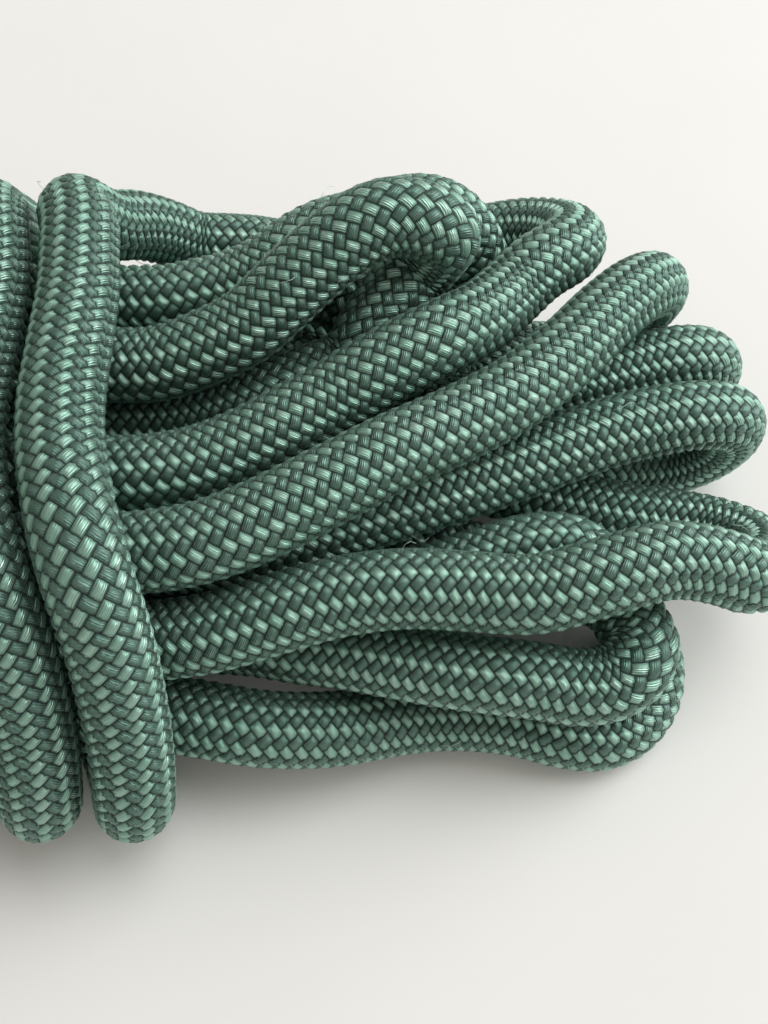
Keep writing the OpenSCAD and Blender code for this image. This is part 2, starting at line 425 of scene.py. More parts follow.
@dataclass
class RopeLine:
    """The finished middle line of the rope in metres, with a frame at each ring.

    Args:
        route: the rope's route.
        braid: its braid, which sets how close the rings are.
        curve_steps: pieces that each span of the route is cut into.
        smoothings: how many times the rings' line is smoothed.
    """

    route: Route
    braid: Braid
    curve_steps: int = 12
    smoothings: int = 10
    line: np.ndarray = field(init=False)
    names: list[str] = field(init=False)
    ahead: np.ndarray = field(init=False)
    up: np.ndarray = field(init=False)
    over: np.ndarray = field(init=False)

    def __post_init__(self) -> None:
        """Works out the rings."""
        points, names = self.route.points()
        fine = curved(points, self.curve_steps)
        step = self.braid.row / self.braid.along
        even = evenly(fine, step)
        for _ in range(self.smoothings):
            even = smoothed(even)
        s = arcs(fine)
        owner = np.repeat(np.arange(len(points) - 1), self.curve_steps)
        index = np.searchsorted(s, arcs(even) * s[-1] / arcs(even)[-1]).clip(0, len(owner) - 1)
        self.names = [names[owner[k]] for k in index]
        self.line = even * MM
        ahead = np.gradient(self.line, axis=0)
        self.ahead = ahead / np.linalg.norm(ahead, axis=1)[:, None]
        up = np.zeros_like(self.line)
        side = np.array([0.0, 0.0, 1.0])
        for k, a in enumerate(self.ahead):
            side = side - a * np.dot(side, a)
            side = side / np.linalg.norm(side)
            up[k] = side
        self.up = up
        self.over = np.cross(self.ahead, up)
        log.info("rope %.3f m, %d rings", arcs(self.line)[-1], len(self.line))

    def cuts(self) -> list[tuple[str, int, int]]:
        """The pieces that the rope is drawn in.

        Each bight takes half of the waist runs before and after it, so the wraps hide the joins.

        Returns:
            The name, the first ring and the last ring of each.
        """
        runs: list[tuple[str, int, int]] = []
        begin = 0
        for k in range(1, len(self.names) + 1):
            if k == len(self.names) or self.names[k] != self.names[begin]:
                runs.append((self.names[begin], begin, k - 1))
                begin = k
        cuts: list[tuple[str, int, int]] = []
        edge = 0
        for k, (name, a, b) in enumerate(runs):
            if name == "waist":
                middle = (a + b) // 2
                cuts.append((runs[k - 1][0], edge, middle))
                edge = middle
            elif name == "wraps":
                cuts.append((runs[k - 1][0], edge, a))
                half = (a + b) // 2
                cuts += [("wraps_0", a, half), ("wraps_1", half, b)]
                edge = b
        cuts.append(("finish", edge, len(self.names) - 1))
        return cuts


# --------------------------------------------------------------------------- shader maths


def operator(kind: str, swapped: bool = False) -> Callable[..., "Wire"]:
    """A method that adds one Math node.

    Args:
        kind: the node's operation.
        swapped: whether the wire is the second operand, as in 1.0 - wire.

    Returns:
        The method. Without another operand it works on the wire alone.
    """

    def method(self: "Wire", other: "Wire | float" = 0.0) -> "Wire":
        """Adds the node."""
        first, second = (other, self) if swapped else (self, other)
        return self.nodes.math(kind, first, second)

    return method


class Wire:
    """A node's output that can be used in Python expressions. Each operator adds one Math node."""

    def __init__(self, nodes: "Nodes", socket: bpy.types.NodeSocket) -> None:
        """Keeps the socket and the material that it is in."""
        self.nodes, self.socket = nodes, socket

    __add__ = operator("ADD")
    __radd__ = operator("ADD", swapped=True)
    __sub__ = operator("SUBTRACT")
    __rsub__ = operator("SUBTRACT", swapped=True)
    __mul__ = operator("MULTIPLY")
    __rmul__ = operator("MULTIPLY", swapped=True)
    __truediv__ = operator("DIVIDE")
    __rtruediv__ = operator("DIVIDE", swapped=True)
    __pow__ = operator("POWER")
    __gt__ = operator("GREATER_THAN")
    __abs__ = operator("ABSOLUTE")
    floor = operator("FLOOR")
    sine = operator("SINE")

    def clipped(self) -> "Wire":
        """Held between 0 and 1."""
        return self.nodes.math("MAXIMUM", self.nodes.math("MINIMUM", self, 1.0), 0.0)


class Nodes:
    """One material's node tree."""

    def __init__(self, name: str, color: tuple[float, float, float]) -> None:
        """Starts a material with one Principled shader.

        Args:
            name: the material's name.
            color: its colour in the viewport.
        """
        self.material = bpy.data.materials.new(name)
        self.material.use_nodes = True
        self.material.diffuse_color = (*color, 1.0)
        self.tree = self.material.node_tree
        self.shader = self.tree.nodes["Principled BSDF"]

    def make(self, kind: str, settings: dict[str, object] | None = None, **inputs: object) -> bpy.types.Node:
        """Adds a node: its settings first, then its inputs.

        Args:
            kind: the node's type.
            settings: attributes to set before the sockets are used.
            inputs: socket names, with "_" for a space, and their values or wires.

        Returns:
            The node.
        """
        node = self.tree.nodes.new(kind)
        for key, value in (settings or {}).items():
            setattr(node, key, value)
        for key, value in inputs.items():
            self.feed(node, key.replace("_", " "), value)
        return node

    def feed(self, node: bpy.types.Node, key: str | int, value: object) -> None:
        """Sets one input's value, or links a wire to it.

        Args:
            node: the node.
            key: the input's name or number.
            value: the value or the wire.
        """
        if isinstance(value, Wire):
            self.tree.links.new(value.socket, node.inputs[key])
        else:
            node.inputs[key].default_value = value

    def out(self, node: bpy.types.Node, key: str | int = 0) -> Wire:
        """One of a node's outputs as a wire."""
        return Wire(self, node.outputs[key])

    def math(self, kind: str, a: Wire | float, b: Wire | float) -> Wire:
        """Adds a Math node.

        Args:
            kind: its operation.
            a: its first number.
            b: its second one.

        Returns:
            Its result.
        """
        node = self.make("ShaderNodeMath", {"operation": kind})
        self.feed(node, 0, a)
        self.feed(node, 1, b)
        return self.out(node)

    def mix(self, a: object, b: object, amount: Wire | float, blend: str = "MIX") -> Wire:
        """Mixes two colours. A Mix node keeps colours at inputs 6 and 7, and at output 2.

        Args:
            a: the first colour.
            b: the second one.
            amount: how much of the second is taken.
            blend: the way in which they mix.

        Returns:
            The mixed colour.
        """
        node = self.make("ShaderNodeMix", {"data_type": "RGBA", "blend_type": blend})
        self.feed(node, 0, amount)
        self.feed(node, 6, a)
        self.feed(node, 7, b)
        return self.out(node, 2)

    def axis(self, vector: Wire) -> tuple[Wire, Wire, Wire]:
        """The three parts of a vector."""
        node = self.make("ShaderNodeSeparateXYZ", None, Vector=vector)
        return self.out(node, 0), self.out(node, 1), self.out(node, 2)

    def vector(self, x: Wire | float, y: Wire | float, z: Wire | float) -> Wire:
        """A vector from three parts."""
        return self.out(self.make("ShaderNodeCombineXYZ", None, X=x, Y=y, Z=z))

    def vectors(self, kind: str, a: Wire, b: Wire | None = None) -> Wire:
        """Adds a Vector Math node.

        Args:
            kind: its operation.
            a: its first vector.
            b: its second one, where the operation takes two.

        Returns:
            Its result.
        """
        node = self.make("ShaderNodeVectorMath", {"operation": kind})
        self.feed(node, 0, a)
        if b is not None:
            self.feed(node, 1, b)
        return self.out(node)

    def scaled(self, a: Wire, amount: Wire) -> Wire:
        """Makes a vector longer or shorter.

        Args:
            a: the vector.
            amount: how many times longer it gets.

        Returns:
            The new vector.
        """
        node = self.make("ShaderNodeVectorMath", {"operation": "SCALE"}, Scale=amount)
        self.feed(node, 0, a)
        return self.out(node)

    def object_place(self) -> Wire:
        """The place on the piece, in metres."""
        return self.out(self.make("ShaderNodeTexCoord"), "Object")

    def noise(self, at: Wire, scale: float, detail: float = 2.0) -> Wire:
        """Soft noise from 0 to 1."""
        return self.out(self.make("ShaderNodeTexNoise", None, Vector=at, Scale=scale, Detail=detail))

    def bump(self, height: Wire, distance: float) -> Wire:
        """A normal from a height, whose full range is that many metres."""
        return self.out(self.make("ShaderNodeBump", None, Height=height, Distance=distance, Strength=1.0))

    def constants(self, **values: object) -> None:
        """Sets the shader's own sockets."""
        for key, value in values.items():
            self.shader.inputs[key.replace("_", " ")].default_value = value

    def surface(self, **wires: Wire) -> None:
        """Links wires to the shader."""
        for key, value in wires.items():
            self.feed(self.shader, key.replace("_", " "), value)


Color = tuple[float, float, float, float]


@dataclass(frozen=True)
class Float:
    """One place on the braid, as shader wires.

    Args:
        crossing: 1 where the float that shows belongs to the yarns that lie crosswise to the others, else 0.
        crosswise: place across the float, in rows from its middle.
        lengthwise: place along the float, in rows from its middle.
        height: 1 on the float's top, 0 in the gaps round it.
        tone: a number from 0 to 1 that differs from float to float.
    """

    crossing: Wire
    crosswise: Wire
    lengthwise: Wire
    height: Wire
    tone: Wire


@dataclass(frozen=True)
class SheathFinish:
    """Dyed filament yarn, braided: satin floats, with painted shade in the gaps between them and painted
    highlights on them.

    Args:
        braid: the braid that the floats belong to.
        top: colour of a float's back.
        flank_shade: painted shade: the darker colour of a float's sides, where it falls away from the light.
        gap_shade: painted shade: the dark colour between floats, where little light reaches.
        gap_shade_height: height below which that painted shade comes in.
        gap_shade_edge: how sharply it does.
        pale: painted highlight: colour of the filaments where they catch the light.
        highlight_least: how much of that painted highlight the dullest float has.
        highlight_spread: how much more the palest one has.
        crossing_shade: painted shade: what the colour of the crossing yarns is multiplied by, as their satin
            sends less light back along their slant.
        crossing_shade_share: how much of that they take.
        wear: what the colour of rubbed patches is multiplied by.
        wear_scale: patches of wear in each metre.
        wear_from: the noise at which wear begins.
        wear_share: how much of it there is past that.
        filaments: filaments in one row's width.
        filament_tilt: how far a filament's sides tilt the normal.
        float_depth: depth of the float's rounding, in metres.
        steepness: slope of a yarn against the rope's own direction.
        roughness: roughness on a float's back.
        gap_roughness: roughness that is added in the gaps.
        metallic: share of the shine that takes the yarn's colour, as satin's does.
        fuzz: weight of the fuzz on the yarn.
        fuzz_roughness: how softly the fuzz scatters.
        fuzz_tint: the fuzz's colour.
    """

    braid: Braid
    top: Color = (0.240, 0.438, 0.350, 1.0)
    flank_shade: Color = (0.068, 0.116, 0.098, 1.0)
    gap_shade: Color = (0.032, 0.036, 0.038, 1.0)
    gap_shade_height: float = 0.15
    gap_shade_edge: float = 8.0
    pale: Color = (0.680, 0.860, 0.780, 1.0)
    highlight_least: float = 0.18
    highlight_spread: float = 0.42
    crossing_shade: Color = (0.35, 0.38, 0.385, 1.0)
    crossing_shade_share: float = 0.9
    wear: Color = (0.60, 0.72, 0.70, 1.0)
    wear_scale: float = 38.0
    wear_from: float = 0.35
    wear_share: float = 0.9
    filaments: float = 6.0
    filament_tilt: float = 0.56
    float_depth: float = 0.28 * MM
    steepness: float = 1.28
    roughness: float = 0.36
    gap_roughness: float = 0.3
    metallic: float = 0.80
    fuzz: float = 0.18
    fuzz_roughness: float = 0.45
    fuzz_tint: Color = (0.62, 0.88, 0.76, 1.0)

    def float_at(self, n: Nodes) -> Float:
        """Finds the float that shows at each place of the UV map, by the same tiling as Braid.height's.

        Args:
            n: the material's nodes.

        Returns:
            The place on the float.
        """
        slant = self.braid.slant
        u, v, _ = n.axis(n.out(n.make("ShaderNodeUVMap", {"uv_map": self.braid.uv_map})))
        even_pair, odd_pair = (u * 0.5 + 0.5).floor(), (u * 0.5).floor()
        even, odd = u - even_pair * 2.0, u - odd_pair * 2.0 - 1.0
        rise, fall = v - even * slant, v - 0.5 + odd * slant
        even_row, odd_row = (rise + 0.5).floor(), (fall + 0.5).floor()
        along_even = even * slant + v - even_row
        along_odd = odd * slant - (v - 0.5 - odd_row)
        crossing = abs(along_even) > slant
        lengthwise = along_even + crossing * (along_odd - along_even)
        crosswise = rise - even_row + crossing * (fall - odd_row - (rise - even_row))
        across = (1.0 - abs(crosswise * 2.0) ** self.braid.side_round).clipped()
        along = (1.0 - abs(lengthwise / slant) ** self.braid.end_round).clipped()
        # the crossing floats count their rows from 99.5, so that no float shares its number with a neighbour
        number = n.vector(even_pair * 2.0 + crossing, even_row + crossing * (odd_row + 99.5 - even_row), 0.0)
        tone = n.out(n.make("ShaderNodeTexWhiteNoise", {"noise_dimensions": "2D"}, Vector=number))
        return Float(crossing, crosswise, lengthwise, across * along, tone)

    def filament_phase(self, n: Nodes, at: Float) -> Wire:
        """An angle that turns once for each filament across a float."""
        wander = n.noise(n.vector(at.lengthwise * 1.5, at.crosswise * 9.0, at.tone * 40.0), 1.0)
        return at.crosswise * (self.filaments * 2 * math.pi) + wander * 4.0

    def color(self, n: Nodes, at: Float, phase: Wire) -> Wire:
        """The yarn's colour, with painted shade and painted highlights in it.

        Args:
            n: the material's nodes.
            at: the place on the float.
            phase: the filaments' angle there.

        Returns:
            The colour.
        """
        # painted shade: a float's colour darkens from its top towards its sides and ends
        back = (at.height * 1.8 - 0.1).clipped()
        # painted highlight: pale streaks along the filaments, strongest on a float's top
        strand = phase.sine() * 0.5 + 0.5
        painted_highlight_mask = strand * at.height * (at.tone * self.highlight_spread + self.highlight_least)
        # painted shade: near-black in the gaps between floats
        crevice_shade = (self.gap_shade_height - at.height) * self.gap_shade_edge
        rubbed = (n.noise(n.object_place(), self.wear_scale, 3.0) - self.wear_from) * self.wear_share
        body = n.mix(self.flank_shade, self.top, back)
        body = n.mix(body, self.pale, painted_highlight_mask.clipped())
        # painted shade: the crossing yarns darkened, standing in for satin that sends less light back along
        # their slant
        body = n.mix(body, self.crossing_shade, at.crossing * self.crossing_shade_share, "MULTIPLY")
        body = n.mix(body, self.gap_shade, crevice_shade.clipped())
        return n.mix(body, self.wear, rubbed.clipped(), "MULTIPLY")

    def normal(self, n: Nodes, at: Float, phase: Wire) -> Wire:
        """The normal of rounded floats, tilted across the yarn by each filament.

        Args:
            n: the material's nodes.
            at: the place on the float.
            phase: the filaments' angle there.

        Returns:
            The normal.
        """
        tangent = {"direction_type": "UV_MAP", "uv_map": self.braid.uv_map}
        round_the_rope = n.out(n.make("ShaderNodeTangent", tangent))
        outwards = n.out(n.make("ShaderNodeNewGeometry"), "Normal")
        lengthways = n.vectors("CROSS_PRODUCT", outwards, round_the_rope)
        climb = n.scaled(lengthways, (at.crossing * 2.0 - 1.0) * self.steepness)
        over_yarn = n.vectors("NORMALIZE", n.vectors("ADD", round_the_rope, climb))
        tilt = phase.sine() * self.filament_tilt * (at.height * 3.0).clipped()
        tilted = n.vectors("ADD", n.bump(at.height, self.float_depth), n.scaled(over_yarn, tilt))
        return n.vectors("NORMALIZE", tilted)

    def material(self) -> bpy.types.Material:
        """The sheath's material.

        Returns:
            The finished material.
        """
        n = Nodes("sheath_yarn", self.top[:3])
        at = self.float_at(n)
        phase = self.filament_phase(n, at)
        roughness = self.roughness + (1.0 - at.height) * self.gap_roughness
        n.constants(IOR=1.5, Metallic=self.metallic)
        n.constants(Sheen_Weight=self.fuzz, Sheen_Roughness=self.fuzz_roughness, Sheen_Tint=self.fuzz_tint)
        n.surface(Base_Color=self.color(n, at, phase), Roughness=roughness, Normal=self.normal(n, at, phase))
        return n.material


@dataclass(frozen=True)
class CoreFinish:
    """Undyed core yarn, fused where it was cut.

    Args:
        yarn: its own colour.
        melt: its colour where it has melted.
        cloud_scale: melted patches in each metre.
        twist: how fast the plies pass along X, Y and Z, in radians for each metre.
        depth: depth of the plies, in metres.
    """

    yarn: Color = (0.72, 0.70, 0.62, 1.0)
    melt: Color = (0.42, 0.38, 0.28, 1.0)
    cloud_scale: float = 900.0
    twist: tuple[float, float, float] = (5200.0, 2600.0, 2600.0)
    depth: float = 0.08 * MM

    def material(self) -> bpy.types.Material:
        """The core's material.

        Returns:
            The finished material.
        """
        n = Nodes("core_yarn", self.yarn[:3])
        place = n.object_place()
        x, y, z = n.axis(place)
        cloud = n.noise(place, self.cloud_scale, 3.0)
        plies = (x * self.twist[0] + y * self.twist[1] + z * self.twist[2] + cloud * 3.0).sine() * 0.5 + 0.5
        body = n.mix(self.yarn, self.melt, ((cloud - 0.45) * 3.0).clipped())
        n.constants(IOR=1.5)
        n.surface(Base_Color=body, Roughness=0.3 + cloud * 0.4, Normal=n.bump(plies + cloud, self.depth))
        return n.material


@dataclass(frozen=True)
class SleeveFinish:
    """Shrunk plastic sleeve, matte black, that shows the braid under it faintly.

    Args:
        base: its own colour.
        worn: its colour where it is scuffed.
        cloud_scale: duller patches in each metre.
        scuff_scale: scuffs in each metre along X, Y and Z: long ones, along the rope.
        ribs: how fast the braid's ribs pass along the rope and across it, in radians for each metre.
        depth: depth of the ribs, in metres.
    """

    base: Color = (0.012, 0.012, 0.013, 1.0)
    worn: Color = (0.040, 0.041, 0.043, 1.0)
    cloud_scale: float = 220.0
    scuff_scale: tuple[float, float, float] = (60.0, 900.0, 900.0)
    ribs: tuple[float, float] = (3140.0, 2400.0)
    depth: float = 0.06 * MM

    def material(self) -> bpy.types.Material:
        """The sleeve's material.

        Returns:
            The finished material.
        """
        n = Nodes("sleeve_plastic", self.base[:3])
        place = n.object_place()
        cloud = n.noise(place, self.cloud_scale, 4.0)
        stretched = n.out(n.make("ShaderNodeMapping", None, Vector=place, Scale=self.scuff_scale))
        scuff = n.noise(stretched, 1.0, 4.0)
        x, y, z = n.axis(place)
        ribs = (x * self.ribs[0]).sine() * ((y + z) * self.ribs[1]).sine()
        body = n.mix(self.base, self.worn, ((scuff - 0.5) * 3.0).clipped())
        relief = n.bump(ribs * 0.5 + cloud, self.depth)
        n.constants(IOR=1.49)
        n.surface(Base_Color=body, Roughness=0.42 + cloud * 0.2, Normal=relief)
        return n.material


@dataclass(frozen=True)
class TableFinish:
    """A plain pale table top.

    Args:
        pale: its colour.
        dull: its colour in the duller patches.
        cloud_scale: patches in each metre.
    """

    pale: Color = (0.90, 0.895, 0.88, 1.0)
    dull: Color = (0.87, 0.865, 0.85, 1.0)
    cloud_scale: float = 30.0

    def material(self) -> bpy.types.Material:
        """The table's material.

        Returns:
            The finished material.
        """
        n = Nodes("table_paper", self.pale[:3])
        cloud = n.noise(n.object_place(), self.cloud_scale, 4.0)
        n.surface(Base_Color=n.mix(self.pale, self.dull, cloud), Roughness=0.8 + cloud * 0.1)
        return n.material


# --------------------------------------------------------------------------- pieces


def new_piece(name: str, mesh: bpy.types.Mesh, material: bpy.types.Material, slot: Slot) -> bpy.types.Object:
    """Puts a mesh into the scene as one piece of the rope.

    Args:
        name: the piece's name.
        mesh: its mesh, in place, in metres.
        material: its finish.
        slot: the record's slot for its finish; not used.

    Returns:
        The piece.
    """
    piece = bpy.data.objects.new(name, mesh)
    bpy.context.scene.collection.objects.link(piece)
    mesh.materials.clear()
    mesh.materials.append(material)
    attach(piece, "root")
    log.info("%s: %d faces", name, len(mesh.polygons))
    return piece


def from_bmesh(name: str, shape: bmesh.types.BMesh, smooth: bool = True) -> bpy.types.Mesh:
    """Turns a bmesh into a mesh and frees it.

    Args:
        name: the mesh's name.
        shape: the bmesh.
        smooth: whether its faces are shaded smooth.

    Returns:
        The mesh.
    """
    bmesh.ops.recalc_face_normals(shape, faces=shape.faces)
    mesh = bpy.data.meshes.new(name)
    shape.to_mesh(mesh)
    shape.free()
    for face in mesh.polygons:
        face.use_smooth = smooth
    return mesh


@dataclass
class BraidedRope:
    """The rope itself, drawn in pieces that meet ring to ring.

    Args:
        rope: its middle line.
        braid: its braid.
        finish: its material.
        diameter: the sheath's outside diameter, in metres.
        proud: how far the floats' tops stand past that diameter, in metres.
        core: the core's diameter, in metres.
        soft_rim: size of the ring just inside a cut end, as a share of the end's own.
        rim_back: how far a cut end's outer ring is drawn back, in metres.
        rim_rows: rows of the UV map to each ring that turns in.
    """

    rope: RopeLine
    braid: Braid
    finish: bpy.types.Material
    diameter: float = 10.0 * MM
    proud: float = 0.12 * MM
    core: float = 7.4 * MM
    soft_rim: float = 0.93
    rim_back: float = 0.25 * MM
    rim_rows: float = 0.4

    def rings(self, first: int, last: int) -> np.ndarray:
        """Points of the sheath's surface, ring by ring.

        Args:
            first: number of the first ring.
            last: number of the last ring, which is kept.

        Returns:
            An array of rings by points by x, y and z, in metres.
        """
        around = self.braid.columns * self.braid.across
        u = np.arange(around) / self.braid.across
        v = np.arange(first, last + 1)[:, None] / self.braid.along
        relief = self.braid.relief * MM
        radius = self.diameter / 2 + self.proud - relief + relief * self.braid.height(u[None], v)
        angle = u * 2 * math.pi / self.braid.columns
        out = np.cos(angle)[None, :, None] * self.rope.up[first : last + 1, None]
        out = out + np.sin(angle)[None, :, None] * self.rope.over[first : last + 1, None]
        points = self.rope.line[first : last + 1, None] + radius[..., None] * out
        points[..., 2] = np.maximum(points[..., 2], 0.0)
        return points

    def turned_in(
        self, grid: np.ndarray, rows: np.ndarray, ring: int, way: int
    ) -> tuple[np.ndarray, np.ndarray]:
        """The rings with two more after the last, where a cut sheath turns in to the core.

        Args:
            grid: the rings, the cut end last.
            rows: each ring's place along the braid.
            ring: number of the cut end's ring.
            way: 1 where the rope runs on from the cut end, -1 where it comes to it.

        Returns:
            The rings and their places.
        """
        middle = self.rope.line[ring]
        rim = [middle + (grid[-1] - middle) * share for share in (self.soft_rim, self.core / self.diameter)]
        grid = np.concatenate([grid, rim])
        grid[-3] += self.rope.ahead[ring] * (self.rim_back * way)
        return grid, np.append(rows, rows[-1] - way * self.rim_rows * np.array([1, 2]))

    def tube(self, name: str, first: int, last: int, closed: tuple[bool, bool]) -> bpy.types.Mesh:
        """The sheath between two rings as a mesh, with its braid UV map.

        Args:
            name: the mesh's name.
            first: number of the first ring.
            last: number of the last ring.
            closed: whether the first and the last ring turn in to the core, as the sheath does at a cut end.

        Returns:
            The mesh.
        """
        grid, rows = self.rings(first, last), np.arange(first, last + 1) / self.braid.along
        if closed[0]:
            grid, rows = self.turned_in(grid[::-1], rows[::-1], first, 1)
            grid, rows = grid[::-1], rows[::-1]
        if closed[1]:
            grid, rows = self.turned_in(grid, rows, last, -1)
        count, around = grid.shape[0], grid.shape[1]
        a = (np.arange(count - 1)[:, None] * around + np.arange(around)[None]).ravel()
        b = (np.arange(count - 1)[:, None] * around + (np.arange(around)[None] + 1) % around).ravel()
        faces = np.stack([a, b, b + around, a + around], axis=1)
        mesh = bpy.data.meshes.new(name)
        mesh.from_pydata(grid.reshape(-1, 3).tolist(), [], faces.tolist(), shade_flat=False)
        u0 = np.tile(np.arange(around) / self.braid.across, count - 1)
        u1 = u0 + 1 / self.braid.across
        v0, v1 = np.repeat(rows[:-1], around), np.repeat(rows[1:], around)
        uv = np.stack([u0, v0, u1, v0, u1, v1, u0, v1], axis=1).reshape(-1)
        mesh.uv_layers.new(name=self.braid.uv_map).data.foreach_set("uv", uv.astype(np.float32))
        mesh.validate()
        return mesh

    def piece(
        self, name: str, first: int, last: int, nodes: Sequence[str], closed: tuple[bool, bool],
        carried: Sequence[str],
    ) -> bpy.types.Object:
        """Args:
            name: the piece's name.
            first: number of its first ring.
            last: number of its last ring.
            nodes: the solids that it stands for.
            closed: whether its first and last ring are cut ends.
            carried: pieces that sit on it; not used.

        Returns:
            The piece.
        """
        piece = new_piece(name, self.tube(name, first, last, closed), self.finish, Slot.SHEATH)
        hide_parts(*nodes)
        line = self.rope.line[first : last + 1]
        if closed[0]:
            line = line[::-1]
        tuple(line[0])
        float(arcs(line)[-1])
        list(carried)
        return piece


@dataclass
class RopeEnd:
    """One cut end: fused core strands and a shrunk sleeve. Lengths are in metres.

    Args:
        name: which end it is.
        at: the middle of the end's face.
        core_finish: the core's material.
        sleeve_finish: the sleeve's material.
        core: the core's diameter.
        core_depth: how far the strands go into the rope.
        core_proud: how far they stand out of it.
        core_round: how far their melted rims are rounded.
        sleeve: the sleeve's outside diameter.
        sleeve_length: its length.
        sleeve_back: how far it lies behind the end's face.
        sleeve_wall: its thickness.
        sleeve_slack: its size between its rims, as a share of that diameter.
        back_pull: the share by which its back rim is drawn in.
        back_fall: how fast that falls off along the sleeve.
        face_pull: the share by which its front rim is drawn in.
        face_fall: how fast that falls off.
        ripple: the share by which it follows the braid.
    """

    name: str
    at: Vector
    core_finish: bpy.types.Material
    sleeve_finish: bpy.types.Material
    core: float = 7.4 * MM
    core_depth: float = 10.0 * MM
    core_proud: float = 0.8 * MM
    core_round: float = 0.45 * MM
    sleeve: float = 11.2 * MM
    sleeve_length: float = 16.0 * MM
    sleeve_back: float = 1.0 * MM
    sleeve_wall: float = 0.45 * MM
    sleeve_slack: float = 0.994
    back_pull: float = 0.028
    back_fall: float = 7.0
    face_pull: float = 0.02
    face_fall: float = 9.0
    ripple: float = 0.0025

    def laid_over(self, shape: bmesh.types.BMesh) -> None:
        """Turns a shape that was made up +Z to point along -X from the end's face."""
        turn = Matrix.Rotation(math.radians(-90), 4, "Y")
        bmesh.ops.transform(shape, matrix=Matrix.Translation(self.at) @ turn, verts=shape.verts)

    def core_piece(self) -> bpy.types.Object:
        """The core: six strands round a middle one, melted together at the face.

        Returns:
            The piece.
        """
        shape = bmesh.new()
        strand = self.core / 6  # a strand's radius: three strands side by side span the core
        length = self.core_depth + self.core_proud
        for k in range(7):
            made = bmesh.ops.create_cone(shape, cap_ends=True, segments=20, radius1=strand, radius2=strand,
                                         depth=length)
            ring = 0.0 if k == 6 else self.core / 2 - strand
            turn = k * math.pi / 3
            spot = Vector((ring * math.cos(turn), ring * math.sin(turn), self.core_proud - length / 2))
            bmesh.ops.translate(shape, vec=spot, verts=made["verts"])
        rims = [e for e in shape.edges if all(v.co.z > self.core_proud - 0.01 * MM for v in e.verts)]
        bmesh.ops.bevel(shape, geom=rims, offset=self.core_round, offset_type="OFFSET", segments=4,
                        profile=0.5, affect="EDGES", material=-1)
        self.laid_over(shape)
        piece = new_piece(f"{self.name}_core_strands", from_bmesh("core", shape), self.core_finish, Slot.CORE)
        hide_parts(f"{self.name}_core_end")
        return piece

    def sleeve_scale(self, along: float, turn: float) -> float:
        """The share of its own radius that the sleeve has at one place.

        Args:
            along: place along it, from 0 at its back rim to 1 at its front one.
            turn: place round it, in radians.

        Returns:
            The share.
        """
        back = self.back_pull * max(0.0, 1 - along * self.back_fall)
        face = self.face_pull * max(0.0, 1 - (1 - along) * self.face_fall)
        # one wave runs along the sleeve, and the other has three crests round it and winds along it
        waves = 1.2 * math.sin(along * 21) + math.sin(3 * turn + along * 9)
        return (1 - back - face) * (self.sleeve_slack + self.ripple * waves)

    def sleeve_piece(self) -> bpy.types.Object:
        """The sleeve: a thin tube with soft rims that follows the braid under it.

        Returns:
            The piece.
        """
        shape = bmesh.new()
        made = bmesh.ops.create_cone(shape, cap_ends=False, segments=72, radius1=self.sleeve / 2,
                                     radius2=self.sleeve / 2, depth=self.sleeve_length)
        middle = -self.sleeve_back - self.sleeve_length / 2
        bmesh.ops.translate(shape, vec=(0, 0, middle), verts=made["verts"])
        long_edges = [e for e in shape.edges if abs(e.verts[0].co.z - e.verts[1].co.z) > 1 * MM]
        bmesh.ops.subdivide_edges(shape, edges=long_edges, cuts=14, use_grid_fill=True)
        for v in shape.verts:
            along = (v.co.z - middle) / self.sleeve_length + 0.5
            v.co.xy *= self.sleeve_scale(along, math.atan2(v.co.y, v.co.x))
        bmesh.ops.recalc_face_normals(shape, faces=shape.faces)
        bmesh.ops.solidify(shape, geom=list(shape.faces), thickness=self.sleeve_wall)
        self.laid_over(shape)
        piece = new_piece(f"{self.name}_sleeve", from_bmesh("sleeve", shape), self.sleeve_finish, Slot.SLEEVE)
        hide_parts(f"{self.name}_end_sleeve")
        return piece


